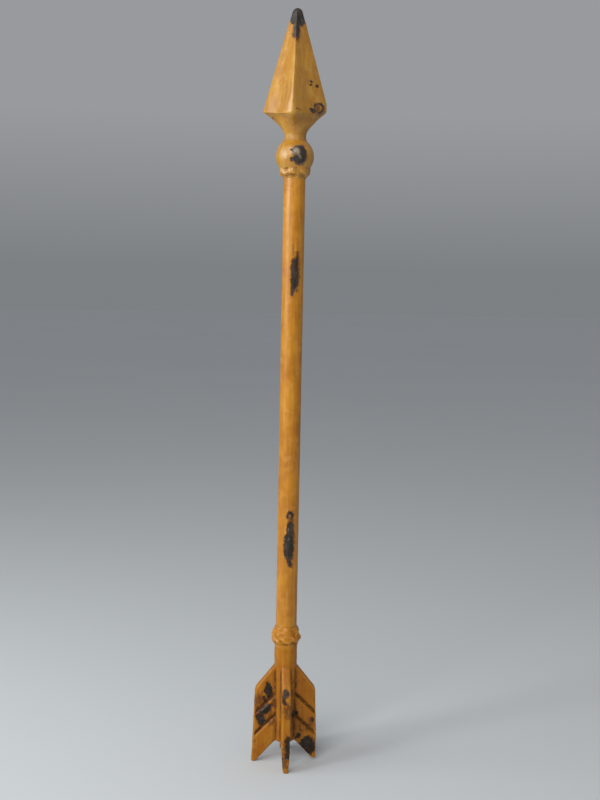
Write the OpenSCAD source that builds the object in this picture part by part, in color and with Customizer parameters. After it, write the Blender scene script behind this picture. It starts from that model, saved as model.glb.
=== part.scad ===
// Ornamental arrow: a cast head and a cast four-vane tail, drawn on to a steel tube by a tie rod.
// The arrow stands on its vane tips. +Z runs from the tail to the tip, and the origin is on the
// floor under the shaft's axis. All sizes are in millimetres.

/* [Shaft] */
// Outside diameter of the shaft tube
shaft_d = 21.3; // [17:0.1:26]
// Wall thickness of the shaft tube
shaft_wall = 2.6; // [1.6:0.1:3.4]
// Length of the shaft tube
shaft_len = 474.5; // [300:0.5:700]

/* [Arrowhead] */
// Height of the point, from its shoulders to its tip
point_h = 98.6; // [60:0.2:140]
// Width of the point across its ridges, at the shoulders
point_w = 62; // [50:0.2:80]
// Radius of the blunt tip, across the flats
tip_r = 4.6; // [2:0.1:7]
// Height of the flare under the shoulders, down to the neck
flare_h = 22.2; // [14:0.2:30]
// Diameter of the neck between the flare and the ball
neck_d = 21.2; // [16:0.2:26]
// Diameter of the ball
ball_d = 37.6; // [33:0.2:46]
// Height of the ball's centre above its flat seat
ball_rise = 13; // [11:0.2:15]
// Length of bare neck between the ball and the flare
neck_len = 3.4; // [2:0.2:14]
// Turn of the point's ridges away from the vanes, in degrees
head_turn = -10; // [-45:1:45]

/* [Collars] */
// Largest diameter of a rope collar
collar_d = 31; // [30:0.2:42]
// Radius of a rope collar's rounded ring
collar_roll_r = 5.4; // [4:0.1:7.7]
// Height of the plain band under the tail collar's roll
band_h = 2.6; // [1.5:0.1:5]
// Height of the taper from the tail collar's roll up to the tube
taper_h = 8.4; // [3:0.2:9]
// Thickness of the web inside a collar, which the tube's end sits on
web_t = 2; // [1.2:0.1:3]

/* [Tail] */
// Height of the tail casting, from the vane tips to the collar's seat
tail_h = 124.5; // [95:0.5:170]
// Diameter of the tail's neck
tail_neck_d = 23.4; // [20:0.2:30]
// Diameter of the core where it ends between the vanes
core_end_d = 19.6; // [18:0.2:26]
// Reach of a vane from the axis, at its tip
vane_reach = 34; // [26:0.5:48]
// Reach of a vane from the axis, at its shoulder
vane_shoulder_reach = 31; // [24:0.5:46]
// Thickness of a vane
vane_t = 9.2; // [6:0.2:12]
// Length of the flat foot at each vane's tip
foot_len = 4.2; // [3:0.1:7]
// Height of the notch cut up into the vanes' lower ends
notch_h = 22.5; // [14:0.5:30]
// Length of bare neck between the collar's seat and the vanes' upper edges
tail_neck_h = 22; // [8:0.5:32]
// Drop of a vane's upper edge, from the neck out to the shoulder
vane_slope_h = 24; // [15:0.5:32]
// Rounding of a vane's shoulder
vane_shoulder_r = 12; // [2:0.5:14]
// Chamfer along a vane's outer edge
vane_chamfer = 2; // [0.5:0.1:2.6]
// Number of barb grooves on each side of a vane
barb_grooves = 2; // [1:1:2]
// Height of the first barb groove's inner end above the notch
barb_rise = 26.5; // [20:0.5:27]
// Spacing of the barb grooves along the axis
barb_pitch = 22.5; // [18:0.5:25]
// Slope of the barb grooves below level, in degrees
barb_slope = 44; // [30:1:50]
// Width of a barb groove
barb_groove_w = 3.2; // [1:0.1:4]

/* [Tie rod] */
// Thread diameter of the tie rod
rod_d = 6; // [5:0.5:6.5]
// Depth of the rod's thread in the head
rod_grip = 22; // [12:0.5:26]
// Width of the nut across its flats
nut_af = 10; // [8:0.5:10.5]
// Height of the nut
nut_h = 5; // [3:0.1:6]
// Thickness of the washer
washer_t = 1.2; // [0.8:0.1:2]
// Length of rod left standing below the nut
rod_tail = 1.8; // [1:0.1:3]

/* [Fits] */
// Radial clearance of a spigot in the tube, and of a collar over it
seat_gap = 0.15; // [0.05:0.01:0.3]
// Radial clearance of the rod in the tail's drilled hole
drill_gap = 0.3; // [0.1:0.05:0.6]
// Radial clearance of a thread
thread_gap = 0.05; // [0.02:0.01:0.1]

/* [Hidden] */
$fn = 96;
eps = 0.5;

paint = "goldenrod";
steel = "silver";

// Shaft
shaft_r = shaft_d / 2;
shaft_bore_r = shaft_r - shaft_wall;
spigot_r = shaft_bore_r - seat_gap;
spigot_len = web_t + 12;

// Heights along the axis
tail_seat_z = tail_h;
shaft_bottom_z = tail_seat_z + web_t;
shaft_top_z = shaft_bottom_z + shaft_len;
head_seat_z = shaft_top_z + web_t;

// Arrowhead, measured up from its seat on the collar
neck_r = neck_d / 2;
ball_r = ball_d / 2;
ball_fillet_r = 3;
fillet_rise = sqrt(pow(ball_r + ball_fillet_r, 2) - pow(neck_r + ball_fillet_r, 2));
flare_z = ball_rise + fillet_rise + neck_len;
shoulder_z = flare_z + flare_h;
tip_z = shoulder_z + point_h;
flat_half = point_w / 2 / sqrt(2);
flare_start = neck_r * 0.62;
flare_pull = [flat_half * 0.56, flare_h * 0.52];
shoulder_round = 1.6;

// Collars
collar_r = collar_d / 2;
collar_bore_r = shaft_r + seat_gap;
roll_centre_r = collar_r - collar_roll_r;
web_hole_r = spigot_r + seat_gap;
band_wall = 1.3;
rim_wall = 1.2;
band_r = collar_bore_r + band_wall;
rim_r = collar_bore_r + rim_wall;
ball_flat_r = sqrt(pow(ball_r, 2) - pow(ball_rise, 2));
head_roll_z = -web_t;
head_foot_h = 1.6;
tail_roll_z = band_h + collar_roll_r * 0.75;

// Tail
tail_neck_r = tail_neck_d / 2;
core_end_r = core_end_d / 2;
vane_angles = [0, 90, 180, 270];
vane_root_z = tail_h - tail_neck_h;
vane_shoulder_z = vane_root_z - vane_slope_h;
flare_out = atan2(vane_reach - vane_shoulder_reach, vane_shoulder_z);

// Tie rod
rod_r = rod_d / 2;
washer_r = nut_af * 0.6;
recess_r = washer_r + 0.4;
recess_h = washer_t + nut_h + rod_tail + 1;
recess_top_z = notch_h + recess_h;
nut_top_z = recess_top_z - washer_t;
rod_bottom_z = nut_top_z - nut_h - rod_tail;
rod_top_z = head_seat_z + rod_grip;
blind_depth = rod_grip + 3;

// Points along an arc about c, from angle a0 to angle a1
function arc(c, r, a0, a1, n = 8) = [for (i = [0:n])
    let (a = a0 + (a1 - a0) * i / n) [c[0] + r * cos(a), c[1] + r * sin(a)]];

// Points along a curve from p0 to p2, pulled towards p1
function curve(p0, p1, p2, n = 8) = [for (i = [0:n])
    let (t = i / n) p0 * pow(1 - t, 2) + p1 * 2 * t * (1 - t) + p2 * pow(t, 2)];

// An outline's points in the reverse order, on the other side of the axis
function mirrored(points) = [for (i = [len(points) - 1:-1:0]) [-points[i][0], points[i][1]]];

// Half of the point's outline, seen along two of its flats
function point_outline() =
    let (
        tip_centre = [0, point_h - tip_r],
        lean = acos((tip_r - shoulder_round)
            / norm([flat_half - shoulder_round, tip_centre[1] - shoulder_round]))
            - atan2(tip_centre[1] - shoulder_round, flat_half - shoulder_round)
    )
    concat(
        curve([flare_start, -flare_h], [flare_pull[0], -flare_pull[1]], [flat_half - 1.2, -0.6]),
        arc([flat_half - shoulder_round, shoulder_round], shoulder_round, -40, lean, 4),
        arc(tip_centre, tip_r, lean, 86, 6)
    );

// The point and its flare, a square with its ridges on the axes at every height
module point() {
    half = point_outline();
    translate([0, 0, shoulder_z])
        intersection_for (turn = [45, 135])
            rotate([90, 0, turn])
                linear_extrude(height = 2 * point_w, center = true)
                    polygon(concat(half, mirrored(half)));
}

// The round neck, the ball, and the hollow fillet between them
module neck_and_ball() {
    neck_top_z = flare_z + flare_h * 0.45;
    intersection() {
        translate([0, 0, ball_rise])
            sphere(r = ball_r);
        cylinder(r = 2 * ball_r, h = 3 * ball_r);
    }
    translate([0, 0, ball_rise])
        cylinder(r = neck_r, h = neck_top_z - ball_rise);
    fillet_centre = [neck_r + ball_fillet_r, ball_rise + fillet_rise];
    touch = [fillet_centre[0] * ball_r / (ball_r + ball_fillet_r),
             ball_rise + fillet_rise * ball_r / (ball_r + ball_fillet_r)];
    rotate_extrude()
        difference() {
            polygon([[neck_r - eps, ball_rise], [touch[0], touch[1] - eps], touch,
                     [fillet_centre[0], fillet_centre[1]], [neck_r - eps, fillet_centre[1]]]);
            translate(fillet_centre)
                circle(r = ball_fillet_r);
        }
}

module arrowhead() {
    color(paint)
        translate([0, 0, head_seat_z])
            difference() {
                union() {
                    rotate([0, 0, head_turn])
                        point();
                    neck_and_ball();
                    translate([0, 0, -spigot_len])
                        cylinder(r = spigot_r, h = spigot_len + eps);
                }
                translate([0, 0, -spigot_len - eps])
                    cylinder(r = rod_r + thread_gap, h = spigot_len + eps + blind_depth);
            }
}

// The ring between the ball and the tube. Its web is held between them, and it hugs the ball's foot.
module head_rope_collar() {
    lip_z = head_roll_z + collar_roll_r;
    foot_z = head_roll_z - collar_roll_r - head_foot_h;
    color(paint)
        translate([0, 0, head_seat_z])
            rotate_extrude()
                difference() {
                    union() {
                        translate([roll_centre_r, head_roll_z])
                            circle(r = collar_roll_r);
                        translate([0, foot_z])
                            square([rim_r, lip_z - foot_z]);
                    }
                    translate([0, foot_z - eps])
                        square([collar_bore_r, -web_t - foot_z + eps]);
                    translate([0, -web_t - eps])
                        square([web_hole_r, 2 * collar_roll_r]);
                    intersection() {
                        translate([0, ball_rise])
                            circle(r = ball_r + seat_gap);
                        square(2 * ball_r);
                    }
                    square([ball_flat_r, 2 * collar_roll_r]);
                }
}

module shaft_tube() {
    color(paint)
        translate([0, 0, shaft_bottom_z])
            difference() {
                cylinder(r = shaft_r, h = shaft_len);
                translate([0, 0, -eps])
                    cylinder(r = shaft_bore_r, h = shaft_len + 2 * eps);
            }
}

// The ring between the tail's neck and the tube. Its web is held between them, on a plain band.
module tail_rope_collar() {
    taper_start = [roll_centre_r + collar_roll_r * 0.7, tail_roll_z + collar_roll_r * 0.7];
    top_z = tail_roll_z + collar_roll_r + taper_h;
    color(paint)
        translate([0, 0, tail_seat_z])
            rotate_extrude()
                difference() {
                    union() {
                        translate([roll_centre_r, tail_roll_z])
                            circle(r = collar_roll_r);
                        square([band_r, tail_roll_z]);
                        polygon([[0, tail_roll_z], [taper_start[0], tail_roll_z], taper_start,
                                 [rim_r, top_z], [0, top_z]]);
                    }
                    translate([0, web_t])
                        square([collar_bore_r, top_z]);
                    translate([0, -eps])
                        square([web_hole_r, web_t + 2 * eps]);
                    translate([0, -3 * collar_roll_r])
                        square([2 * collar_r, 3 * collar_roll_r]);
                }
}

// One vane's outline, from the axis out along +X
module vane_outline() {
    shoulder = [vane_shoulder_reach, vane_shoulder_z];
    root = [tail_neck_r, vane_root_z];
    rise = atan2(root[1] - shoulder[1], shoulder[0] - root[0]);
    bend = 90 - rise - flare_out;
    back = vane_shoulder_r * tan(bend / 2);
    centre = shoulder - back * [sin(-flare_out), cos(flare_out)] - vane_shoulder_r
        * [cos(flare_out), sin(flare_out)];
    polygon(concat(
        [[0, notch_h], [core_end_r, notch_h], [vane_reach - foot_len, 0], [vane_reach, 0]],
        arc(centre, vane_shoulder_r, flare_out, 90 - rise, 6),
        [root, [0, vane_root_z]]
    ));
}

// Chamfers both long corners of a vane's outer edge
module edge_chamfers() {
    size = vane_chamfer * sqrt(2);
    for (side = [-1, 1])
        translate([vane_reach, side * vane_t / 2, 0])
            rotate([0, -flare_out, 0])
                rotate([0, 0, 45])
                    translate([-size / 2, -size / 2, -vane_reach])
                        cube([size, size, vane_root_z + vane_reach]);
}

// The V grooves that part the barbs, sloping out and down on both sides of a vane
module barb_cuts() {
    size = barb_groove_w / sqrt(2);
    for (side = [-1, 1], i = [0:barb_grooves - 1])
        translate([core_end_r, side * vane_t / 2, notch_h + barb_rise + i * barb_pitch])
            rotate([0, barb_slope, 0])
                rotate([45, 0, 0])
                    translate([-vane_reach / 4, -size / 2, -size / 2])
                        cube([2 * vane_reach, size, size]);
}

module vane() {
    difference() {
        rotate([90, 0, 0])
            linear_extrude(height = vane_t, center = true)
                vane_outline();
        edge_chamfers();
        barb_cuts();
    }
}

module fletched_tail() {
    color(paint)
        difference() {
            union() {
                for (turn = vane_angles)
                    rotate([0, 0, turn])
                        vane();
                translate([0, 0, notch_h])
                    cylinder(r1 = core_end_r, r2 = tail_neck_r, h = vane_root_z - notch_h);
                translate([0, 0, vane_root_z])
                    cylinder(r = tail_neck_r, h = tail_seat_z - vane_root_z);
                translate([0, 0, tail_seat_z - eps])
                    cylinder(r = spigot_r, h = spigot_len + eps);
            }
            translate([0, 0, notch_h - eps])
                cylinder(r = rod_r + drill_gap, h = tail_seat_z + spigot_len);
            translate([0, 0, notch_h - eps])
                cylinder(r = recess_r, h = recess_h + eps);
        }
}

module tie_rod() {
    color(steel)
        translate([0, 0, rod_bottom_z])
            cylinder(r = rod_r, h = rod_top_z - rod_bottom_z);
}

module tie_rod_washer() {
    color(steel)
        translate([0, 0, nut_top_z])
            difference() {
                cylinder(r = washer_r, h = washer_t);
                translate([0, 0, -eps])
                    cylinder(r = rod_r + drill_gap, h = washer_t + 2 * eps);
            }
}

module tie_rod_nut() {
    color(steel)
        translate([0, 0, nut_top_z - nut_h])
            difference() {
                cylinder(r = nut_af / sqrt(3), h = nut_h, $fn = 6);
                translate([0, 0, -eps])
                    cylinder(r = rod_r + thread_gap, h = nut_h + 2 * eps);
            }
}

arrowhead();
head_rope_collar();
shaft_tube();
tail_rope_collar();
fletched_tail();
tie_rod();
tie_rod_washer();
tie_rod_nut();
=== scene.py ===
import math

import bmesh
import bpy
from mathutils import Euler, Matrix, Vector, noise


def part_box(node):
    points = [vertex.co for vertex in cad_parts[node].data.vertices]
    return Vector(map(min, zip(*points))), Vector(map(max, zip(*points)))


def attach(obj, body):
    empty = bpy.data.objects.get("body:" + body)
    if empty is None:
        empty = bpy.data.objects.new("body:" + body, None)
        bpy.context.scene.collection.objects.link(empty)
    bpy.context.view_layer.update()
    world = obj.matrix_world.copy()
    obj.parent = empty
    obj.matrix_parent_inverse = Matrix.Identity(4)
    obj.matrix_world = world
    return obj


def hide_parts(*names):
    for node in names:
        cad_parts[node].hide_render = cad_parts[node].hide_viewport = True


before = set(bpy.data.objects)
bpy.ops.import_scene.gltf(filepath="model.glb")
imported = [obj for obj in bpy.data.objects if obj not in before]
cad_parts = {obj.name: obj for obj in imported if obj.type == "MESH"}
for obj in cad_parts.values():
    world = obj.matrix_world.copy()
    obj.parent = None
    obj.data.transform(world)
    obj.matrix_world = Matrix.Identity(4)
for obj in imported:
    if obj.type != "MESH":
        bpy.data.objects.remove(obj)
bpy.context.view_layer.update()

# An ornamental cast arrow in chipped ochre enamel: a faceted point on a ball, two rope collars, a
# tube shaft and a four-vane barbed tail. Sizes below are in millimetres, and MM turns them to metres.
MM = 0.001

# ---------------------------------------------------------------- places, from the frame

TAIL_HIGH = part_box("fletched_tail")[1]
SHAFT_LOW, SHAFT_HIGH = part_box("shaft_tube")
HEAD_LOW, HEAD_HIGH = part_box("arrowhead")
TAIL_COLLAR_LOW, TAIL_COLLAR_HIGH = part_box("tail_rope_collar")
HEAD_COLLAR_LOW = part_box("head_rope_collar")[0]
NUT_LOW, NUT_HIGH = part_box("tie_rod_nut")
WASHER_LOW, WASHER_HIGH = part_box("tie_rod_washer")
ROD_LOW, ROD_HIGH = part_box("tie_rod")

SHAFT_R = SHAFT_HIGH.x / MM
SHAFT_BOTTOM = SHAFT_LOW.z / MM
SHAFT_TOP = SHAFT_HIGH.z / MM
TAIL_SEAT = TAIL_COLLAR_LOW.z / MM
WEB = SHAFT_BOTTOM - TAIL_SEAT
HEAD_SEAT = SHAFT_TOP + WEB
HEAD_RISE = HEAD_HIGH.z / MM - HEAD_SEAT
VANE_REACH = TAIL_HIGH.x / MM
ROD_R = ROD_HIGH.x / MM

# ---------------------------------------------------------------- shapes

# The head, in heights above its seat on the collar
BALL_R = 18.7
BALL_RISE = 13.0
NECK_R = 10.5
BALL_FILLET_R = 6.5
FLARE_FOOT = 33.4
SHOULDER_RISE = 55.8
SHOULDER_R = 31.9
SHOULDER_EDGE_R = 1.7
TIP_R = 5.4
BLIND_HOLE = 25
POINT_TURN = math.radians(-10)
FRONT_RIDGE = math.radians(-90)
FLAT_HOLLOW = 0.055
RIDGE_ROUND = 2.6
RIDGE_CROWDING = 1.35
SHOULDER_SAG = 2.2
FRONT_CORNER_SAG = 4.0

# The tail
VANE_HALF = 4.6
VANE_EDGE_ROUND = 1.9
VANE_SHOULDER = Vector((31.0, 78.5))
VANE_SHOULDER_ROUND = 12.0
VANE_ROOT_Z = 102.5
CORE_END = Vector((9.8, 22.5))
TAIL_NECK_R = 11.7
FOOT_LEN = 4.2
BARB_RISE = 26.5
BARB_PITCH = 22.5
BARB_SLOPE = math.radians(44)
BARB_DEPTH = 2.0
GROOVE_CUTS = (4.2, 0.0, -1.0)
GROOVE_STOP = VANE_REACH - 3.8
GROOVE_FADE = 1.6
WORN_TIP = 3.0
RECESS_R = 6.4
RECESS_TOP = WASHER_HIGH.z / MM

# The shaft and the tie rod
SHAFT_WALL = 2.6
SPIGOT_R = 7.9
ROD_CLEARANCE = 0.3
THREAD_GAP = 0.05
THREAD_PITCH = 1.0
THREAD_STEPS = 28

# The collars: LAP is how far their lips reach into the shaft and the ball
COLLAR_BORE_R = SHAFT_R + 0.03
COLLAR_HOLE_R = 8.05
BALL_SEAT_R = math.sqrt(BALL_R ** 2 - BALL_RISE ** 2)
ROLL_R = 5.4
ROLL_CENTRE_R = 10.1
ROPE_STRANDS = 3
ROPE_TWISTS = 7
ROPE_OUTER_R = 15.3
LAP = 0.3
SLEEVE = 0.8


def arc(centre, radius, start, end, steps):
    """Points along an arc, with its angles in degrees."""
    turns = [math.radians(start + (end - start) * i / steps) for i in range(steps + 1)]
    return [(centre[0] + radius * math.cos(t), centre[1] + radius * math.sin(t)) for t in turns]


def curve(start, pull, end, steps):
    """Points along a curve from start to end, drawn towards pull."""
    points = []
    for i in range(steps + 1):
        t = i / steps
        points.append(tuple(a * (1 - t) ** 2 + b * 2 * t * (1 - t) + c * t ** 2
                            for a, b, c in zip(start, pull, end)))
    return points


def even(points, step):
    """The same outline with no stretch longer than step."""
    finer = [points[0]]
    for a, b in zip(points, points[1:]):
        count = max(1, math.ceil(math.dist(a, b) / step))
        finer += [(a[0] + (b[0] - a[0]) * i / count, a[1] + (b[1] - a[1]) * i / count)
                  for i in range(1, count + 1)]
    return finer


def smooth_step(low, high, value):
    t = min(1.0, max(0.0, (value - low) / (high - low)))
    return t * t * (3 - 2 * t)


def lathe(outline, steps, closed=False):
    """Spins an outline of (radius, height) points, in millimetres, round the arrow's axis."""
    bm = bmesh.new()
    verts = [bm.verts.new((r, 0, z)) for r, z in outline]
    pairs = list(zip(verts, verts[1:])) + ([(verts[-1], verts[0])] if closed else [])
    edges = [bm.edges.new(pair) for pair in pairs]
    bmesh.ops.spin(bm, geom=verts + edges, cent=(0, 0, 0), axis=(0, 0, 1),
                   angle=2 * math.pi, steps=steps, use_merge=True)
    bmesh.ops.remove_doubles(bm, verts=bm.verts, dist=0.0005)
    bmesh.ops.recalc_face_normals(bm, faces=bm.faces)
    return bm


def relax(bm, verts, passes):
    """Smooths the vertices, halfway to their neighbours at each pass."""
    for _ in range(passes):
        bmesh.ops.smooth_vert(bm, verts=verts, factor=0.5, use_axis_x=True, use_axis_y=True,
                              use_axis_z=True)


def cut(bm, place, normal):
    """Cuts every face that a plane crosses, and keeps both sides."""
    bmesh.ops.bisect_plane(bm, geom=bm.verts[:] + bm.edges[:] + bm.faces[:], dist=1e-5,
                           plane_co=place, plane_no=normal)


def join(bm, other):
    """Moves another bmesh's shape into this one."""
    spare = bpy.data.meshes.new("spare")
    other.to_mesh(spare)
    bm.from_mesh(spare)
    bpy.data.meshes.remove(spare)
    other.free()


# ---------------------------------------------------------------- surface: lumps, chips, wear marks and painted shade

# FAR is how far outside a spot still counts, and a span is the millimetres of depth that a layer covers
FAR = 9.0
CHIP_SPAN = 8.0
STAIN_AND_SHADE_SPAN = 4.0
SOFT_PASSES = 60


def spot(centre, half_size, turn=0.0):
    """An ellipsoid that marks a place on the surface, turned by some degrees about Y."""
    return Vector(centre), Vector(half_size), Euler((0, math.radians(turn), 0)).to_matrix()


def depth_in(point, spots):
    """Distance in millimetres inside the nearest spot, or outside it where negative."""
    deepest = -FAR
    for centre, half_size, turned in spots:
        if abs(point.z - centre.z) > max(half_size) + FAR:
            continue
        offset = turned @ (point - centre)
        share = Vector((offset.x / half_size.x, offset.y / half_size.y, offset.z / half_size.z))
        deepest = max(deepest, (1 - share.length) * min(half_size.x, half_size.z))
    return deepest


def ragged(point, reach):
    """A rough offset for the edge of a spot."""
    return reach * (1.5 * noise.noise(point / 4.6) + 0.8 * noise.noise(point / 1.9))


def weather(bm, marks, lump, lump_size, recess=0.3, extra_shade=None):
    """Gives a surface its slow lumps, sinks the chips and marks what the finish is laid out by."""
    soft = bm.copy()
    relax(soft, soft.verts, SOFT_PASSES)
    soft.verts.ensure_lookup_table()
    bm.verts.index_update()
    bm.normal_update()
    bare, edge, hollow, stain_and_shade, primer = (bm.verts.layers.float.new(name) for name in
                                         ("bare", "edge", "hollow", "stain_and_shade", "primer"))
    for v in bm.verts:
        rise = (soft.verts[v.index].co - v.co).dot(v.normal)
        depth = min(depth_in(v.co, marks["chips"]), -depth_in(v.co, marks.get("islets", ())))
        depth += ragged(v.co, marks.get("ragged", 1.0))
        v[bare] = min(1, max(0, 0.5 + depth / CHIP_SPAN))
        v[edge] = min(1, max(0, -rise / 2))
        # The hollow layer is painted shade: high in concave places, by how far they sit below the
        # smoothed surface, and where a piece adds extra shade
        shade_share = 0.3 * extra_shade(v.co) * (0.85 + ragged(v.co, 0.25)) if extra_shade else 0.0
        v[hollow] = min(1, max(0, rise / 2, shade_share))
        v[stain_and_shade] = min(1, max(0, 0.5 + depth_in(v.co, marks.get("stains_and_shade", ())) / STAIN_AND_SHADE_SPAN))
        v[primer] = min(1, max(0, 0.5 + depth_in(v.co, marks.get("primer", ())) / CHIP_SPAN))
        swell = lump * noise.noise(v.co / lump_size) + 0.35 * lump * noise.noise(v.co * 2.7 / lump_size)
        v.co += v.normal * (swell - recess * smooth_step(-0.3, 0.7, depth))
    soft.free()


def make(bm, name, node, material):
    """Turns a finished bmesh, in millimetres, into the piece that stands for a CAD node."""
    bmesh.ops.scale(bm, vec=(MM, MM, MM), verts=bm.verts)
    mesh = bpy.data.meshes.new(name)
    for face in bm.faces:
        face.smooth = True
    bm.to_mesh(mesh)
    bm.free()
    piece = bpy.data.objects.new(name, mesh)
    bpy.context.scene.collection.objects.link(piece)
    mesh.materials.append(material)
    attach(piece, "root")
    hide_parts(node)
    return piece


# ---------------------------------------------------------------- materials

class Maker:
    """Adds nodes to a material, and links what is given to their inputs."""

    def __init__(self, name):
        self.material = bpy.data.materials.new(name)
        self.material.use_nodes = True
        self.tree = self.material.node_tree
        self.shader = self.tree.nodes["Principled BSDF"]
        self.place = self.add("ShaderNodeTexCoord").outputs["Object"]

    def put(self, socket, value):
        if isinstance(value, bpy.types.NodeSocket):
            self.tree.links.new(value, socket)
        elif value is not None:
            socket.default_value = value

    def add(self, kind, inputs=None, **settings):
        node = self.tree.nodes.new(kind)
        for key, value in settings.items():
            setattr(node, key, value)
        for key, value in (inputs or {}).items():
            self.put(node.inputs[key], value)
        return node

    def attribute(self, name):
        return self.add("ShaderNodeAttribute", attribute_name=name).outputs["Fac"]

    def noise(self, size_mm, detail=4.0, rough=0.55, stretch=None):
        """Noise whose features are about size_mm across, and stretch times longer along the axis."""
        place = self.place
        if stretch:
            squeeze = {"Vector": place, "Scale": (1, 1, 1 / stretch)}
            place = self.add("ShaderNodeMapping", squeeze).outputs[0]
        return self.add("ShaderNodeTexNoise", {"Vector": place, "Scale": 1 / (size_mm * MM),
                                               "Detail": detail, "Roughness": rough}).outputs["Fac"]

    def math(self, operation, a, b=None, clamp=False):
        node = self.add("ShaderNodeMath", operation=operation, use_clamp=clamp)
        self.put(node.inputs[0], a)
        self.put(node.inputs[1], b)
        return node.outputs[0]

    def ramp(self, value, low, high, to_low=0.0, to_high=1.0):
        return self.add("ShaderNodeMapRange", {"Value": value, "From Min": low, "From Max": high,
                                               "To Min": to_low, "To Max": to_high},
                        interpolation_type="SMOOTHSTEP").outputs[0]

    def mix(self, share, a, b, blend="MIX"):
        node = self.add("ShaderNodeMix", data_type="RGBA", blend_type=blend)
        self.put(node.inputs["Factor"], share)
        self.put(node.inputs[6], a)
        self.put(node.inputs[7], b)
        return node.outputs[2]

    def bump(self, height, depth_mm, strength=1.0, below=None):
        node = self.add("ShaderNodeBump", {"Height": height, "Distance": depth_mm * MM,
                                           "Strength": strength, "Normal": below})
        return node.outputs[0]


OCHRE = (0.500, 0.222, 0.0070)
OCHRE_DEEP = (0.380, 0.145, 0.0040)
OCHRE_PALE = (0.590, 0.325, 0.0500)
# Near-black brown: painted shade in the hollows, and the real freckles of dirt
GRIME_AND_SHADE = (0.060, 0.023, 0.004, 1)
# Rust brown: real stains, the rusty halo round the chips, and a few spots of painted shade
RUST_STAIN_AND_SHADE = (0.120, 0.038, 0.005, 1)
# Pale primer, also used for a painted highlight on the broken paint edges of the chips
PRIMER_AND_EDGE_GLINT = (0.330, 0.270, 0.175, 1)
IRON = (0.016, 0.0145, 0.0085, 1)
IRON_WORN = (0.066, 0.058, 0.044, 1)
RUST = (0.070, 0.022, 0.007, 1)
STEEL_DARK = (0.09, 0.085, 0.078, 1)
STEEL_LIGHT = (0.20, 0.19, 0.175, 1)


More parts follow.
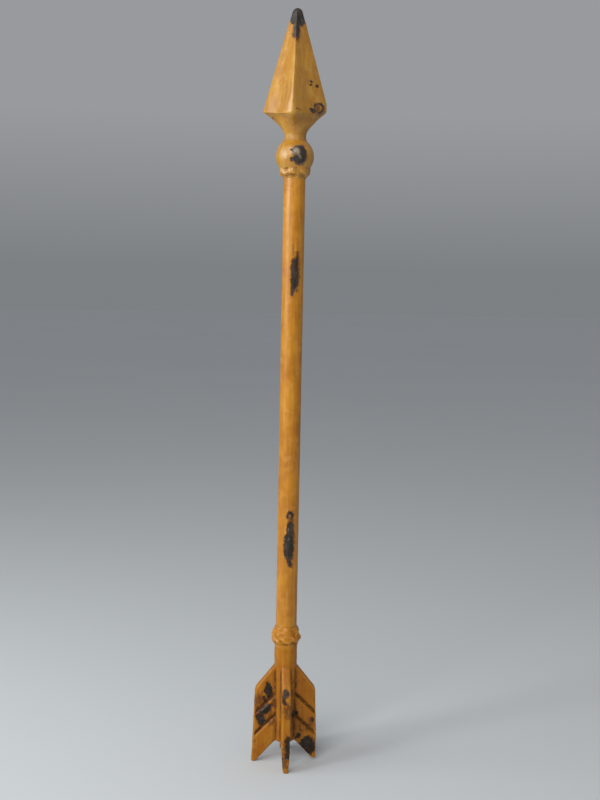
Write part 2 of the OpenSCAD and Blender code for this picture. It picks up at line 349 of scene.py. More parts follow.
def ochre_enamel(name, cast_depth, speckle, warmth, painted_light_level, hollow_shade_strength):
    """Brushed semi-gloss ochre enamel, chipped to black iron with a rusty rim. Warmth makes it redder
    and less glossy. The light level scales the whole colour per piece as painted light and shade,
    darker on the tail and lighter on the shaft. The hollow shade strength sets how dark the painted
    shade in the hollows is."""
    m = Maker(name)
    green_share, blue_share = (1 - 0.22 * warmth) * painted_light_level, (1 - 0.6 * warmth) * painted_light_level
    ochre, deep, pale = ((red * painted_light_level, green * green_share, blue * blue_share, 1)
                         for red, green, blue in (OCHRE, OCHRE_DEEP, OCHRE_PALE))
    bare, edge, hollow = m.attribute("bare"), m.attribute("edge"), m.attribute("hollow")
    stain_and_shade, primer = m.attribute("stain_and_shade"), m.attribute("primer")

    # Brushed paint: slow clouds, fine streaks along the arrow, and paler paint on the convex edges,
    # partly thinner paint and partly a painted highlight
    paint = m.mix(m.ramp(m.noise(24, 5, 0.6), 0.34, 0.66), deep, ochre)
    paint = m.mix(m.ramp(m.noise(9, 4, 0.55), 0.50, 0.74, 0, 0.5), paint, pale)
    streak = m.noise(1.3, 3, 0.6, stretch=14)
    paint = m.mix(m.ramp(streak, 0.38, 0.72, 0, 0.28), paint, deep)
    brushed = m.noise(3.4, 3, 0.5, stretch=11)
    paint = m.mix(m.ramp(brushed, 0.48, 0.68, 0, 0.36), paint, pale)
    # Paler convex edges: thinner paint, and a painted highlight where the edges catch light
    paint = m.mix(m.ramp(edge, 0.10, 0.40, 0, 0.4), paint, pale)

    # Painted shade in the hollows, rust staining round the chips with a few painted shade spots in the
    # same layer, and fine freckles
    patch = m.noise(4.5, 5, 0.62)
    # Painted shade: the hollow layer darkens creases and recesses towards near-black brown, more on some
    # pieces than on others
    hollow_shade = m.math("MULTIPLY", m.ramp(hollow, 0.02, 0.24), m.ramp(patch, 0.30, 0.60, 0.45, 1.0))
    paint = m.mix(m.math("MULTIPLY", hollow_shade, hollow_shade_strength), paint, GRIME_AND_SHADE)
    scratch = m.noise(2.4, 6, 0.68)
    smear = m.noise(3.0, 7, 0.75, stretch=1.8)
    # The stain layer is mostly real rust staining, with a few spots of painted shade: under the head's
    # left shoulder and down the tail's front-right corner
    stain_and_shade_mask = m.math("ADD", m.math("MULTIPLY", stain_and_shade, 0.55), m.math("MULTIPLY", smear, 2.6))
    paint = m.mix(m.ramp(stain_and_shade_mask, 1.60, 1.96, 0, 0.85), paint, RUST_STAIN_AND_SHADE)
    paint = m.mix(m.ramp(m.noise(1.9, 6, 0.7), 0.655, 0.73, 0, speckle), paint, GRIME_AND_SHADE)

    # Where the paint has gone: depth into a chip in millimetres, with a broken edge
    broken = m.math("MULTIPLY", m.math("SUBTRACT", m.noise(1.5, 5, 0.62), 0.5), 2.6)
    depth = m.math("MULTIPLY", m.math("SUBTRACT", bare, 0.5), CHIP_SPAN)
    depth = m.math("ADD", depth, broken)
    rubbed = m.math("MULTIPLY", m.math("ADD", edge, m.noise(4.5, 8, 0.7)), 0.62)
    gone = m.math("MAXIMUM", m.ramp(depth, -0.06, 0.06), m.ramp(rubbed, 0.720, 0.735))
    halo = m.math("MULTIPLY", m.ramp(depth, -1.2, -0.1), m.ramp(scratch, 0.36, 0.60, 0.25, 0.85))
    paint = m.mix(halo, paint, RUST_STAIN_AND_SHADE)

    # Bare iron: a rusty ring inside the rim, worn grey in the middle, primer left in a few places, and a
    # pale band just inside the broken paint edge that is partly primer and partly a painted highlight
    iron = m.mix(m.ramp(m.noise(5, 6, 0.65, stretch=2), 0.44, 0.68), IRON, IRON_WORN)
    iron = m.mix(m.ramp(m.noise(3, 5, 0.6), 0.48, 0.64, 0, 0.8), iron, RUST)
    iron = m.mix(m.ramp(depth, 1.3, 0.1, 0, 0.85), iron, RUST)
    left = m.math("ADD", primer, m.math("MULTIPLY", m.math("SUBTRACT", scratch, 0.5), 0.5))
    iron = m.mix(m.ramp(left, 0.42, 0.72, 0, 0.75), iron, PRIMER_AND_EDGE_GLINT)
    # Pale band just inside each chip's rim: partly primer, partly a painted highlight where the broken
    # paint edge catches light
    rim = m.math("MULTIPLY", m.ramp(depth, 0.45, 0.30), m.ramp(patch, 0.54, 0.60, 0, 0.5))
    iron = m.mix(rim, iron, PRIMER_AND_EDGE_GLINT)

    paint_rough = m.ramp(m.noise(9, 5, 0.6), 0.3, 0.7, 0.27 + 0.1 * warmth, 0.40 + 0.1 * warmth)
    paint_rough = m.math("ADD", paint_rough, m.math("MULTIPLY", hollow_shade, 0.30))
    iron_rough = m.ramp(m.noise(2.5, 4, 0.6), 0.3, 0.7, 0.42, 0.64)
    rough = m.add("ShaderNodeMix", {"Factor": gone, "A": paint_rough, "B": iron_rough}).outputs[0]

    normal = m.bump(m.noise(2.6, 6, 0.62), cast_depth)
    normal = m.bump(streak, 0.03, below=normal)
    pitted = m.ramp(gone, 0.4, 1.0, 0.0, 0.8)
    normal = m.bump(m.noise(1.1, 5, 0.65), 0.10, strength=pitted, below=normal)
    normal = m.bump(m.math("SUBTRACT", 1.0, gone), 0.25, below=normal)

    m.put(m.shader.inputs["Base Color"], m.mix(gone, paint, iron))
    m.put(m.shader.inputs["Roughness"], rough)
    m.put(m.shader.inputs["Metallic"], m.math("MULTIPLY", gone, 0.2))
    m.put(m.shader.inputs["Normal"], normal)
    m.shader.inputs["Specular IOR Level"].default_value = 0.75 - 0.5 * warmth
    return m.material


def dull_steel(name):
    """Dark oiled steel with rust in patches."""
    m = Maker(name)
    base = m.mix(m.ramp(m.noise(3, 6, 0.6), 0.35, 0.7), STEEL_DARK, STEEL_LIGHT)
    base = m.mix(m.ramp(m.noise(2, 6, 0.7), 0.52, 0.66), base, RUST)
    m.put(m.shader.inputs["Base Color"], base)
    m.put(m.shader.inputs["Roughness"], m.ramp(m.noise(1.5, 5, 0.6), 0.3, 0.7, 0.38, 0.7))
    m.shader.inputs["Metallic"].default_value = 0.8
    m.put(m.shader.inputs["Normal"], m.bump(m.noise(0.8, 5, 0.6), 0.04))
    return m.material


# ---------------------------------------------------------------- arrowhead

def head_outline():
    """The head's outline along a ridge, from the end of its blind hole to its tip."""
    fillet_rise = math.sqrt((BALL_R + BALL_FILLET_R) ** 2 - (NECK_R + BALL_FILLET_R) ** 2)
    fillet_angle = math.degrees(math.atan2(fillet_rise, NECK_R + BALL_FILLET_R))
    seat_angle = -math.degrees(math.asin(BALL_RISE / BALL_R))
    tip_centre = HEAD_RISE - TIP_R
    reach = math.hypot(SHOULDER_R, tip_centre - SHOULDER_RISE)
    lean = math.degrees(math.acos(TIP_R / reach) - math.atan2(tip_centre - SHOULDER_RISE, SHOULDER_R))
    shoulder = (SHOULDER_R - 1.6, SHOULDER_RISE)
    spigot_foot = HEAD_LOW.z / MM - HEAD_SEAT
    hole_r = ROD_R + THREAD_GAP
    flare_end = (shoulder[0] - 0.3, shoulder[1] - SHOULDER_EDGE_R)
    hidden = [(0, BLIND_HOLE), (hole_r, BLIND_HOLE), (hole_r, spigot_foot), (SPIGOT_R, spigot_foot),
              (SPIGOT_R, 0)]
    ball = arc((0, BALL_RISE), BALL_R, seat_angle, fillet_angle, 40)
    fillet = arc((NECK_R + BALL_FILLET_R, BALL_RISE + fillet_rise), BALL_FILLET_R,
                 180 + fillet_angle, 180, 6)
    flare = curve((NECK_R, FLARE_FOOT), (11.6, 41.0), flare_end, 26)
    shoulder_arc = arc(shoulder, SHOULDER_EDGE_R, -52, lean, 5)
    tip = arc((0, tip_centre), TIP_R, lean, 90, 9)
    return hidden + even([(BALL_SEAT_R, 0)] + ball[1:] + fillet + flare + shoulder_arc + tip, 0.95)


def square_up(v):
    """Turns the round head square above its neck, with hollow flats and ridges at quarter turns."""
    height = v.co.z
    radius = math.hypot(v.co.x, v.co.y)
    if height <= FLARE_FOOT + 2 or radius < 1e-6:
        return
    square = smooth_step(FLARE_FOOT + 2, SHOULDER_RISE - 1, height)
    square *= 1 - 0.6 * smooth_step(HEAD_RISE - 14, HEAD_RISE - 2, height)
    angle = math.atan2(v.co.y, v.co.x)
    quarter = math.pi / 2
    ridge = round(angle / quarter) * quarter
    off = math.degrees(angle - ridge)
    crowded = math.copysign(45 * (abs(off) / 45) ** RIDGE_CROWDING, off) if off else 0.0
    off = off + (crowded - off) * square
    spread = math.sqrt(off ** 2 + RIDGE_ROUND ** 2)
    straight = math.cos(math.radians(45 - RIDGE_ROUND)) / math.cos(math.radians(45 - min(45, spread)))
    across = math.sin(math.radians(2 * off)) ** 2
    flat = straight * (1 - FLAT_HOLLOW * across)
    near_shoulder = math.exp(-((height - SHOULDER_RISE) / 8.0) ** 2)
    turned = ridge + math.radians(off)
    from_front = math.degrees((turned - FRONT_RIDGE + math.pi) % (2 * math.pi) - math.pi)
    front = math.exp(-(from_front / 26) ** 2)
    worn_right = math.exp(-((from_front - 42) / 30) ** 2)
    flat *= 1 - near_shoulder * (0.030 * front + 0.018 * worn_right)
    scaled = radius * (1 + square * (flat - 1))
    turned += POINT_TURN
    v.co.x, v.co.y = scaled * math.cos(turned), scaled * math.sin(turned)
    v.co.z -= near_shoulder * (square * SHOULDER_SAG * across + FRONT_CORNER_SAG * front)


def soften_shoulder(bm):
    """Rounds the cast shoulder where it is worn, from the front corner round to the right-hand one."""
    for low, high, reach, passes in ((-16, 120, 4.5, 16), (-8, 112, 8.5, 60)):
        worn = []
        for v in bm.verts:
            if abs(v.co.z - SHOULDER_RISE + 2) < reach and math.hypot(v.co.x, v.co.y) > 14:
                turn = math.degrees(math.atan2(v.co.y, v.co.x) - FRONT_RIDGE - POINT_TURN)
                if low < (turn + 180) % 360 - 180 < high:
                    worn.append(v)
        relax(bm, worn, passes)


# Heights on the head are above its seat
HEAD_MARKS = {
    "chips": [
        spot((0, -6, 157.0), (16, 16, 20.0)),
        spot((2.0, -8, 142.5), (7.5, 8, 6.5), -20),
        spot((-1.4, -9, 134), (3.8, 6, 12.5)),
        spot((3.6, -18, 13.6), (7.4, 8, 9.8)),
        spot((-2.6, -18, 18.8), (3.2, 5, 1.6), 20),
        spot((-3.9, -18, 10.0), (1.5, 5, 2.2)),
        spot((13.6, -13, 80.0), (1.2, 5, 0.9)),
        spot((14.6, -13, 83.6), (1.3, 5, 0.6)),
        spot((19.6, -9, 79.6), (1.3, 5, 1.0)),
        spot((21.2, -10, 58.6), (5.6, 7, 4.9)),
        spot((15.6, -16, 55.6), (3.0, 7, 1.7), -12),
        spot((1.6, -29, 55.2), (1.6, 6, 0.8)),
        spot((-9, 24, 66), (3.2, 8, 5.0), 25),
        spot((20, 13, 100), (2.0, 7, 3.2)),
        spot((-13, 13, 17), (4.2, 6, 3.6)),
        spot((-9.5, 15, 13.5), (2.8, 6, 2.0), 30),
        spot((-24, 9, 58), (4, 6, 2.4)),
    ],
    "islets": [
        spot((21.6, -11, 58.4), (4.3, 7, 3.7)),
        spot((-3.0, -18, 13.6), (3.0, 7, 2.6), 20),
    ],
    "stains_and_shade": [
        spot((-1.8, -9, 128), (4.2, 6, 9.5)),
        spot((20.5, -10, 57.5), (8.5, 8, 6.5)),
        spot((4, -18, 13.0), (9, 8, 12)),
        # Painted shade: a thin dark line under the left shoulder's lower edge, on the downward-facing
        # flare
        spot((-22.5, -8, 49.5), (8.0, 10, 1.6), -38),
        spot((-9, 24, 64), (5, 8, 8)),
    ],
    "primer": [
        spot((21.6, -11, 58.3), (2.9, 7, 2.5)),
        spot((0.4, -18, 16.6), (3.6, 7, 4.4), 30),
        spot((3.0, -18, 13.0), (1.6, 7, 4.0), 30),
    ],
    "ragged": 0.75,
}


def build_arrowhead(material):
    bm = lathe(head_outline(), 192)
    for v in bm.verts:
        square_up(v)
    soften_shoulder(bm)
    weather(bm, HEAD_MARKS, 0.16, 11)
    bmesh.ops.translate(bm, vec=(0, 0, HEAD_SEAT), verts=bm.verts)
    return make(bm, "arrowhead_casting", "arrowhead", material)


# ---------------------------------------------------------------- rope collars

def twist_rope(bm, roll_z, ends, relief, lump, seed):
    """Raises twisted strands and cast lumps on a collar's roll, fading out at its two ends. They hardly
    reach past the rope's outer radius."""
    low, high = ends
    bm.normal_update()
    raised = []
    for v in bm.verts:
        radius = math.hypot(v.co.x, v.co.y)
        out, up = radius - ROLL_CENTRE_R, v.co.z - roll_z
        reach = math.hypot(out, up)
        if radius < SHAFT_R + 0.3 or reach < 0.7 * ROLL_R:
            continue
        angle = math.atan2(v.co.y, v.co.x)
        around = math.atan2(up, out)
        wander = 1.3 * noise.noise(v.co / 7 + Vector((seed, 0, 0)))
        phase = ROPE_STRANDS * around + ROPE_TWISTS * angle + wander
        strand = 0.5 + 0.5 * math.cos(phase)
        uneven = 1 + 0.9 * noise.noise(v.co / 6 + Vector((0, seed, 0)))
        swell = lump * noise.noise(v.co / 4.6 + Vector((0, 0, seed)))
        facing = smooth_step(low, low + 2.5, v.co.z) * smooth_step(high, high - 3.5, v.co.z)
        shift = facing * (relief * uneven * (strand - 0.8) + swell)
        raised.append((v, v.co + v.normal * shift))
    for v, place in raised:
        radius = math.hypot(place.x, place.y)
        held = min(radius, ROPE_OUTER_R + 0.25 * max(0.0, radius - ROPE_OUTER_R))
        v.co = Vector((place.x * held / radius, place.y * held / radius, place.z))
    relax(bm, [v for v, _ in raised], 12)


# Heights on each collar are from the seat of the casting next to it
TAIL_COLLAR_MARKS = {
    "chips": [spot((12, 10, 8), (2.6, 4, 1.8)), spot((-12, 9, 12), (1.6, 4, 2.0))],
    "stains_and_shade": [
        spot((2.6, -15, 8.6), (1.0, 5, 0.7)),
        spot((11.6, -11, 11.5), (1.6, 6, 1.6)),
        spot((7, 13, 4), (4, 5, 2)),
    ],
}
HEAD_COLLAR_MARKS = {
    "chips": [spot((-10.6, -9, -9.4), (1.1, 5, 0.9)), spot((9, 12, -2), (2.4, 4, 1.6))],
    "stains_and_shade": [
        spot((-8.0, -9, -8.6), (2.4, 6, 0.9)),
        spot((-3, 14, 0), (4, 5, 2.5)),
    ],
}


def build_tail_collar(material):
    roll_z = 7.4
    top_z = (TAIL_COLLAR_HIGH.z - TAIL_COLLAR_LOW.z) / MM
    foot = [(COLLAR_HOLE_R, 0), (11.0, 0), (11.0, -SLEEVE), (11.9, -SLEEVE), (12.0, 1.2)]
    roll = arc((ROLL_CENTRE_R, roll_z), ROLL_R, -62, 40, 22)
    taper = curve(roll[-1], (13.4, top_z - 3.6), (SHAFT_R - LAP, top_z), 16)
    inside = [(COLLAR_BORE_R - 2 * LAP, top_z), (COLLAR_BORE_R, top_z - 1.5), (COLLAR_BORE_R, WEB),
              (COLLAR_HOLE_R, WEB)]
    outline = [foot[0]] + even(foot[1:] + roll + taper, 0.5) + inside
    bm = lathe(outline, 176, closed=True)
    twist_rope(bm, roll_z, (-SLEEVE, top_z), 2.2, 1.5, 3.1)
    weather(bm, TAIL_COLLAR_MARKS, 0.25, 5, 0.25)
    bmesh.ops.translate(bm, vec=(0, 0, TAIL_SEAT), verts=bm.verts)
    return make(bm, "tail_rope_ring", "tail_rope_collar", material)


def build_head_collar(material):
    roll_z = 0.6 - WEB
    foot_z = HEAD_COLLAR_LOW.z / MM - HEAD_SEAT
    bore = COLLAR_BORE_R
    hug_r = BALL_R - LAP
    hug = arc((0, BALL_RISE), hug_r, -24, -math.degrees(math.asin(BALL_RISE / hug_r)), 10)
    roll = arc((ROLL_CENTRE_R, roll_z), ROLL_R, -74, 14, 18)
    filled = curve(roll[-1], (15.5, 2.0), hug[0], 8)
    foot = [(bore - 2 * LAP, foot_z), (bore - LAP, foot_z - 0.1), (bore + 0.8, foot_z + 1.2)]
    inside = [(COLLAR_HOLE_R, 0), (COLLAR_HOLE_R, -WEB), (bore, -WEB), (bore, foot_z + 1.5), foot[0]]
    outline = even(foot[1:] + roll + filled, 0.5) + hug[1:] + [(BALL_SEAT_R, 0)] + inside
    bm = lathe(outline, 176, closed=True)
    twist_rope(bm, roll_z, (foot_z, hug[0][1] - 0.6), 1.5, 1.0, 8.4)
    weather(bm, HEAD_COLLAR_MARKS, 0.25, 5, 0.25)
    bmesh.ops.translate(bm, vec=(0, 0, HEAD_SEAT), verts=bm.verts)
    return make(bm, "head_rope_ring", "head_rope_collar", material)


# ---------------------------------------------------------------- shaft

# Heights on the shaft and the tail are above the floor
SHAFT_MARKS = {
    "chips": [
        spot((1.4, -10.6, 503.0), (4.0, 7, 16.5)),
        spot((1.2, -10.6, 494.0), (3.9, 7, 9.0)),
        spot((3.4, -10.6, 516.0), (1.5, 6, 5.6)),
        spot((-0.7, -10.6, 485.5), (1.6, 6, 5.0)),
        spot((1.6, -10.6, 261.0), (3.4, 7, 4.2)),
        spot((1.7, -10.6, 244.0), (3.7, 7, 11.0)),
        spot((0.5, -10.6, 228.5), (5.3, 7, 14.5)),
        spot((0.9, -10.6, 212.8), (1.7, 6, 4.6), 24),
        spot((-2, 10.6, 498), (4.8, 7, 15)),
        spot((1, 10.6, 242), (5.2, 7, 17), 5),
        spot((-10.5, 2, 372), (6, 3.0, 6)),
        spot((10.5, 3, 180), (6, 2.0, 4.5)),
        spot((9, 6, 430), (5, 2.5, 3)),
    ],
    "islets": [spot((0.8, -10.6, 260.3), (1.9, 7, 2.2))],
    "stains_and_shade": [
        spot((-1.0, -10.6, 525.5), (1.3, 6, 5.0)),
        spot((3.0, -10.6, 503.0), (4.8, 7, 20)),
        spot((2.8, -10.6, 236.0), (5.4, 7, 30)),
        spot((-2, 10.6, 498), (6.5, 7, 20)),
        spot((1, 10.6, 242), (7, 7, 22)),
    ],
    "primer": [spot((-0.4, -10.6, 246.0), (0.9, 6, 1.6)), spot((0.4, -10.6, 236.0), (1.1, 6, 2.2))],
    "ragged": 0.8,
}


def build_shaft(material):
    bore = SHAFT_R - SHAFT_WALL
    wall = even([(SHAFT_R, SHAFT_BOTTOM), (SHAFT_R, SHAFT_TOP)], 1.1)
    bm = lathe(wall + [(bore, SHAFT_TOP), (bore, SHAFT_BOTTOM)], 112, closed=True)
    weather(bm, SHAFT_MARKS, 0.07, 16, 0.28)
    return make(bm, "shaft_pipe", "shaft_tube", material)


# ---------------------------------------------------------------- fletched tail

def vane_outline():
    """A vane's outline in (reach, height), from inside the core round to its upper edge."""
    root = Vector((TAIL_NECK_R, VANE_ROOT_Z))
    slope = (root - VANE_SHOULDER).normalized()
    lean = math.degrees(math.atan2(VANE_REACH - VANE_SHOULDER.x, VANE_SHOULDER.y))
    rise = math.degrees(math.atan2(root.y - VANE_SHOULDER.y, VANE_SHOULDER.x - root.x))
    back = VANE_SHOULDER_ROUND * math.tan(math.radians((90 - rise - lean) / 2))
    down = Vector((math.sin(math.radians(lean)), -math.cos(math.radians(lean))))
    inward = Vector((-math.cos(math.radians(lean)), -math.sin(math.radians(lean))))
    centre = VANE_SHOULDER + down * back + inward * VANE_SHOULDER_ROUND
    corner = arc(centre, VANE_SHOULDER_ROUND, lean, 90 - rise, 6)
    inner = 8.4
    upper = root + slope * (root.x - inner) / abs(slope.x)
    foot = VANE_REACH - FOOT_LEN
    fall = CORE_END.y / (foot - CORE_END.x)
    notch = (inner, CORE_END.y + fall * (CORE_END.x - inner))
    return [notch, (foot, 0), (VANE_REACH, 0)] + corner + [tuple(upper)]


def build_vane():
    """One vane along +X: a thick plate with rounded edges and two stepped grooves on each face."""
    bm = bmesh.new()
    outline = [bm.verts.new((x, -VANE_HALF, z)) for x, z in vane_outline()]
    face = bm.faces.new(outline)
    grown = bmesh.ops.extrude_face_region(bm, geom=[face])
    moved = [g for g in grown["geom"] if isinstance(g, bmesh.types.BMVert)]
    bmesh.ops.translate(bm, vec=(0, 2 * VANE_HALF, 0), verts=moved)
    rim = [e for e in bm.edges if abs(e.verts[0].co.y - e.verts[1].co.y) < 1e-6
           and max(e.verts[0].co.x, e.verts[1].co.x) > 9]
    bmesh.ops.bevel(bm, geom=rim, offset=VANE_EDGE_ROUND, segments=3, profile=0.5,
                    affect="EDGES", material=-1)
    up = Vector((math.sin(BARB_SLOPE), 0, math.cos(BARB_SLOPE)))
    for x in (GROOVE_STOP, GROOVE_STOP + GROOVE_FADE):
        cut(bm, (x, 0, 0), (1, 0, 0))
    for groove in (0, 1):
        start = Vector((CORE_END.x, 0, CORE_END.y + BARB_RISE + groove * BARB_PITCH))
        for offset in GROOVE_CUTS:
            cut(bm, start + up * offset, up)
        for v in bm.verts:
            if abs((v.co - start).dot(up)) < 0.02 and abs(v.co.y) > VANE_HALF - 0.1:
                fade = 1 - smooth_step(GROOVE_STOP, GROOVE_STOP + GROOVE_FADE, v.co.x)
                v.co.y -= math.copysign(BARB_DEPTH * fade, v.co.y)
    for v in bm.verts:
        v.co.y *= 0.60 + 0.40 * smooth_step(-1, 20, v.co.z)
    bmesh.ops.recalc_face_normals(bm, faces=bm.faces)
    return bm


TAIL_MARKS = {
    "chips": [
        spot((-17.3, -5, 76.5), (4.3, 6, 8.6), 12),
        spot((-20.5, -5, 67.0), (1.8, 6, 6.0), 24),
        spot((-20.6, -5, 55.5), (9.0, 6, 4.0), 38),
        spot((-24.8, -5, 46.0), (3.8, 6, 8.6), 18),
        spot((-1.3, -31.5, 83.4), (3.6, 6, 5.2)),
        spot((-2.8, -31.5, 77.0), (1.6, 6, 4.6), 12),
        spot((2.6, -31, 29.0), (3.4, 12, 9.5)),
        spot((1.4, -32, 18.5), (2.4, 10, 4.0), -10),
        spot((-3.6, -33, 8.0), (1.3, 8, 5.5)),
        spot((22.6, -5, 19.8), (6.0, 6, 8.2), -42),
        spot((26.8, -5, 15.0), (5.0, 6, 8.5)),
        spot((14.4, -5, 28.6), (3.6, 6, 2.2), 42),
        spot((28.4, -5, 45.6), (1.3, 5, 1.9)),
        spot((10.4, -9, 51.5), (3.4, 6, 6.0)),
        spot((21, 5, 60), (4.5, 6, 6.5), 35),
        spot((-20, 5, 30), (5, 6, 6), -40),
        spot((3, 32, 66), (3.6, 6, 9)),
        spot((-2, 33, 8), (4, 6, 6)),
        spot((-4.5, 20, 42), (3, 6, 7), 30),
        spot((4.5, 20, 84), (3, 7, 5), 20),
        spot((33, 1, 30), (4, 4, 5)),
        spot((-33, 2, 14), (3, 4, 4)),
    ],
    "islets": [
        spot((18.8, -5, 26.2), (2.6, 6, 1.9)),
        spot((0.6, -31.5, 79.5), (1.5, 6, 2.2)),
    ],
    "stains_and_shade": [
        spot((-26.0, -5, 62.0), (5.5, 6, 9.0)),
        spot((-16.0, -5, 48.5), (5.5, 6, 6.5), 40),
        spot((-12.0, -5, 66.0), (3.6, 6, 6.5)),
        spot((-21, -5, 56), (9, 6, 20), 30),
        spot((2.0, -30, 63.5), (6.5, 10, 8.5)),
        spot((9.5, -10, 55.0), (5.5, 8, 16.0)),
        # Painted shade: a long dark strip down the front-right corner between the core and the vanes
        spot((7.6, -9, 62.0), (2.4, 8, 30.0)),
        # Two thin dark lines across the front vane's outer edge
        spot((0.5, -34, 73.2), (5.4, 4, 0.9)),
        spot((1.0, -34, 57.7), (5.0, 4, 0.8)),
        spot((14.5, -5, 57.0), (2.4, 6, 2.0)),
        spot((20.0, -5, 38.5), (9.5, 6, 3.6), -42),
        spot((17.5, -5, 33.5), (6.0, 6, 2.4), -30),
        spot((27.0, -5, 42.0), (4.0, 6, 6.5)),
        spot((15.4, -5, 37.0), (1.6, 6, 2.6)),
        spot((22, -5, 18), (9, 6, 12), -40),
        spot((31.5, -3, 60), (1.6, 6, 24)),
        spot((-30.8, -4, 22.0), (1.0, 5, 1.6)),
        spot((-31.0, -4, 13.0), (0.9, 5, 2.2)),
        spot((0, -31, 20), (5, 12, 20)),
        spot((21, 5, 58), (8, 6, 12), 35),
        spot((-20, 5, 32), (9, 6, 10), -40),
        spot((2, 32, 62), (5, 8, 14)),
    ],
    "primer": [spot((-21.6, -5, 57.6), (6.5, 6, 0.7), 42), spot((12.6, -8, 57.0), (1.0, 6, 1.2))],
    "ragged": 1.0,
}


def groove_shade(place):
    """How much painted shade a place gets in the barbs' grooves and in the corners at the core, from 0
    to 1.
    """
    reach = max(abs(place.x), abs(place.y))
    deepest = 0.0
    for groove in (0, 1):
        rise = place.z - CORE_END.y - BARB_RISE - groove * BARB_PITCH
        above = (reach - CORE_END.x) * math.sin(BARB_SLOPE) + rise * math.cos(BARB_SLOPE)
        deepest = max(deepest, smooth_step(-0.5, 0.2, above) * smooth_step(4.8, 1.6, above))
    deepest *= smooth_step(VANE_REACH - 2.5, VANE_REACH - 5.0, reach) * smooth_step(10, 13, reach)
    from_corner = math.hypot(reach - 10.0, min(abs(place.x), abs(place.y)) - VANE_HALF)
    under_root = smooth_step(VANE_ROOT_Z - 2, VANE_ROOT_Z - 12, place.z)
    return max(deepest, 0.45 * smooth_step(4.8, 0.5, from_corner) * under_root)


def wear_down(vane):
    """Shortens the +X vane's tip, which is worn more than the others."""
    for v in vane.verts:
        low = 1 - smooth_step(0, 36, v.co.z)
        v.co.x *= 1 - 0.035 * low
        v.co.z += WORN_TIP * low


def grow_together(bm, voxel):
    """Remeshes overlapping closed shapes as one skin."""
    rough = bpy.data.meshes.new("rough")
    bm.to_mesh(rough)
    bm.free()
    holder = bpy.data.objects.new("rough", rough)
    bpy.context.scene.collection.objects.link(holder)
    grow = holder.modifiers.new("grow", "REMESH")
    grow.mode, grow.voxel_size = "VOXEL", voxel
    bpy.context.view_layer.update()
    grown = bmesh.new()
    grown.from_object(holder, bpy.context.evaluated_depsgraph_get())
    bpy.data.objects.remove(holder)
    return grown


def build_tail(material):
    """The core with its neck, spigot and counterbore, and four vanes, grown together as one casting."""
    hole_r = ROD_R + ROD_CLEARANCE
    spigot_top = TAIL_HIGH.z / MM
    core = [(hole_r, RECESS_TOP), (RECESS_R, RECESS_TOP), (RECESS_R, CORE_END.y), tuple(CORE_END),
            (TAIL_NECK_R - 0.2, VANE_ROOT_Z), (TAIL_NECK_R, TAIL_SEAT), (SPIGOT_R, TAIL_SEAT),
            (SPIGOT_R, spigot_top), (hole_r, spigot_top)]
    bm = lathe(core, 96, closed=True)
    for quarter in range(4):
        vane = build_vane()
        if quarter == 0:
            wear_down(vane)
        turn = Matrix.Rotation(quarter * math.pi / 2, 3, "Z")
        bmesh.ops.rotate(vane, cent=(0, 0, 0), matrix=turn, verts=vane.verts)
        join(bm, vane)
    bm = grow_together(bm, 0.62)
    relax(bm, bm.verts, 4)
    # Painted shade in the grooves and the core's corners goes into the hollow layer
    weather(bm, TAIL_MARKS, 0.22, 9, 0.3, extra_shade=groove_shade)
    return make(bm, "tail_casting", "fletched_tail", material)


# ---------------------------------------------------------------- tie rod, washer and nut

def build_tie_rod(material):
    """A plain bar, with a rolled thread on the end that the nut is on."""
    bottom, top = ROD_LOW.z / MM, ROD_HIGH.z / MM
    thread_top = RECESS_TOP + 1
    root_r = ROD_R - 0.55
    bm = lathe([(0, bottom), (root_r - 0.3, bottom), (root_r, bottom + 0.4), (root_r, thread_top),
                (ROD_R, thread_top + 0.6), (ROD_R, top), (0, top)], 48)
    crest = 0.06
    section = [(root_r - 0.1, -0.4), (ROD_R, -crest), (ROD_R, crest), (root_r - 0.1, 0.4)]
    start_z = bottom + 0.8
    turns = math.floor((thread_top - start_z - 0.4) / THREAD_PITCH)
    thread = bmesh.new()
    verts = [thread.verts.new((r, 0, start_z + z)) for r, z in section]
    end = thread.faces.new(verts)
    bmesh.ops.spin(thread, geom=[end], cent=(0, 0, 0), axis=(0, 0, 1), angle=2 * math.pi * turns,
                   dvec=(0, 0, THREAD_PITCH / THREAD_STEPS), steps=THREAD_STEPS * turns)
    bmesh.ops.recalc_face_normals(thread, faces=thread.faces)
    join(bm, thread)
    return make(bm, "tie_rod_bar", "tie_rod", material)


def build_washer(material):
    low, high = WASHER_LOW.z / MM, WASHER_HIGH.z / MM
    hole_r, rim = ROD_R + ROD_CLEARANCE, WASHER_HIGH.x / MM
    bm = lathe([(hole_r, low + 0.1), (hole_r + 0.1, low), (rim - 0.25, low), (rim, low + 0.3),
                (rim, high - 0.1), (rim - 0.1, high), (hole_r + 0.1, high), (hole_r, high - 0.1)],
               64, closed=True)
    return make(bm, "tie_rod_seat_washer", "tie_rod_washer", material)


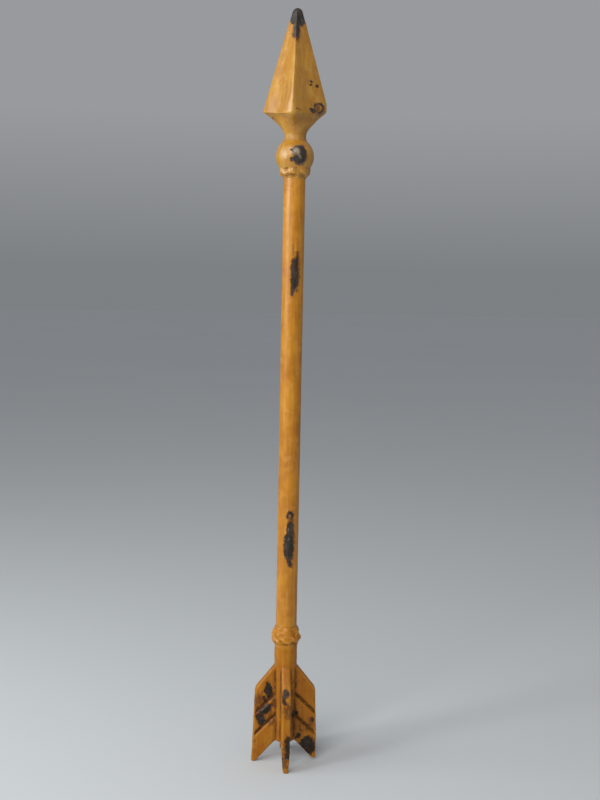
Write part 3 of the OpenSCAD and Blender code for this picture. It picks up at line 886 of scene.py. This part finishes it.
def build_nut(material):
    """A hexagon nut with both faces chamfered, its corners at sixths of a turn from +X."""
    low, high, bore_r = NUT_LOW.z / MM, NUT_HIGH.z / MM, ROD_R + THREAD_GAP
    half_flats = NUT_HIGH.y / MM
    corner_r = NUT_HIGH.x / MM
    side = even([(corner_r, low), (corner_r, high)], 0.3)
    bm = lathe([(bore_r, low + 0.4), (bore_r + 0.4, low), (half_flats - 0.3, low)] + side
               + [(half_flats - 0.3, high), (bore_r + 0.4, high), (bore_r, high - 0.4)], 96, closed=True)
    for v in bm.verts:
        radius = math.hypot(v.co.x, v.co.y)
        if radius < half_flats - 0.1:
            continue
        off = math.degrees(math.atan2(v.co.y, v.co.x)) % 60 - 30
        flat_r = half_flats / math.cos(math.radians(off))
        chamfer_r = half_flats - 0.1 + min(v.co.z - low, high - v.co.z) * math.sqrt(3)
        scale = min(flat_r, chamfer_r) / radius
        v.co.x, v.co.y = v.co.x * scale, v.co.y * scale
    piece = make(bm, "tie_rod_hex_nut", "tie_rod_nut", material)
    for polygon in piece.data.polygons:
        polygon.use_smooth = False
    return piece


# ---------------------------------------------------------------- stage, light and camera

EYE_RISE = 507 * MM
EYE_DISTANCE = 1145 * MM
EYE_TURN = math.radians(-3.5)
EYE_PITCH = math.radians(6.5)
EYE_PAN = math.radians(0.48)
EYE_ROLL = math.radians(1.12)
LENS = 51.75
HORIZON = (0.206, 0.217, 0.230, 1)
BACKDROP = (0.315, 0.325, 0.338, 1)
BACKDROP_RISE = 0.13
ZENITH = (0.33, 0.35, 0.38, 1)
FLOOR_DARK = (0.59, 0.60, 0.60, 1)
FLOOR_LIGHT = (0.63, 0.64, 0.64, 1)
LIT_PLACE = (0, 0, 0.66)
COOL = (0.90, 0.97, 1.0)
COOL_BRIGHT = (0.90, 0.98, 1.0)
NEUTRAL = (1.0, 0.99, 0.97)


def place_camera():
    camera = bpy.data.objects.new("camera", bpy.data.cameras.new("camera"))
    bpy.context.scene.collection.objects.link(camera)
    camera.data.lens = LENS
    turn = Matrix.Rotation(EYE_TURN - EYE_PAN, 4, "Z")
    pitch = Matrix.Rotation(math.pi / 2 - EYE_PITCH, 4, "X")
    roll = Matrix.Rotation(EYE_ROLL, 4, "Z")
    place = Matrix.Rotation(EYE_TURN, 4, "Z") @ Vector((0, -EYE_DISTANCE, EYE_RISE))
    camera.matrix_world = Matrix.Translation(place) @ turn @ pitch @ roll
    bpy.context.scene.camera = camera


def area_light(name, place, size, power, color):
    light = bpy.data.lights.new(name, "AREA")
    light.shape, light.size, light.size_y = "RECTANGLE", size[0], size[1]
    light.energy, light.color = power, color
    holder = bpy.data.objects.new(name, light)
    holder.location = place
    holder.rotation_euler = (Vector(LIT_PLACE) - Vector(place)).to_track_quat("-Z", "Y").to_euler()
    bpy.context.scene.collection.objects.link(holder)


def set_stage():
    bm = bmesh.new()
    bmesh.ops.create_grid(bm, x_segments=2, y_segments=2, size=12)
    mesh = bpy.data.meshes.new("floor")
    bm.to_mesh(mesh)
    bm.free()
    floor = bpy.data.objects.new("floor", mesh)
    bpy.context.scene.collection.objects.link(floor)
    m = Maker("pale_floor")
    m.put(m.shader.inputs["Base Color"], m.mix(m.noise(900, 3), FLOOR_DARK, FLOOR_LIGHT))
    m.shader.inputs["Roughness"].default_value = 0.85
    mesh.materials.append(m.material)

    world = bpy.data.worlds.new("studio")
    world.use_nodes = True
    tree = world.node_tree
    height = tree.nodes.new("ShaderNodeSeparateXYZ")
    tree.links.new(tree.nodes.new("ShaderNodeTexCoord").outputs["Generated"], height.inputs[0])
    blend = tree.nodes.new("ShaderNodeValToRGB")
    tree.links.new(height.outputs["Z"], blend.inputs[0])
    blend.color_ramp.elements[0].color = HORIZON
    blend.color_ramp.elements[1].color = ZENITH
    blend.color_ramp.elements.new(BACKDROP_RISE).color = BACKDROP
    tree.links.new(blend.outputs[0], tree.nodes["Background"].inputs["Color"])
    bpy.context.scene.world = world

    area_light("window", (-1.00, -0.18, 0.86), (0.70, 0.65), 5.2, COOL)
    area_light("window_glint", (-1.38, -0.72, 0.80), (0.30, 0.75), 8.0, COOL_BRIGHT)
    area_light("room_light", (-0.66, -1.55, 1.62), (1.1, 1.1), 25, NEUTRAL)


bpy.context.scene.view_settings.view_transform = "Standard"
place_camera()
set_stage()
# Per piece, warmth is a real shift in hue; the light level is painted light and shade, darkening the
# tail and lightening the shaft
head_enamel = ochre_enamel("ochre_head_enamel", cast_depth=0.10, speckle=0.35, warmth=0.0,
                           painted_light_level=0.96, hollow_shade_strength=0.22)
pipe_enamel = ochre_enamel("ochre_pipe_enamel", cast_depth=0.05, speckle=0.25, warmth=0.5,
                           painted_light_level=1.06, hollow_shade_strength=0.50)
ring_enamel = ochre_enamel("ochre_ring_enamel", cast_depth=0.10, speckle=0.30, warmth=0.7,
                           painted_light_level=0.98, hollow_shade_strength=0.38)
tail_enamel = ochre_enamel("ochre_tail_enamel", cast_depth=0.10, speckle=0.40, warmth=0.95,
                           painted_light_level=0.81, hollow_shade_strength=0.95)
steel = dull_steel("dull_steel")

build_arrowhead(head_enamel)
build_head_collar(head_enamel)
build_shaft(pipe_enamel)
build_tail_collar(ring_enamel)
build_tail(tail_enamel)
build_tie_rod(steel)
build_washer(steel)
build_nut(steel)
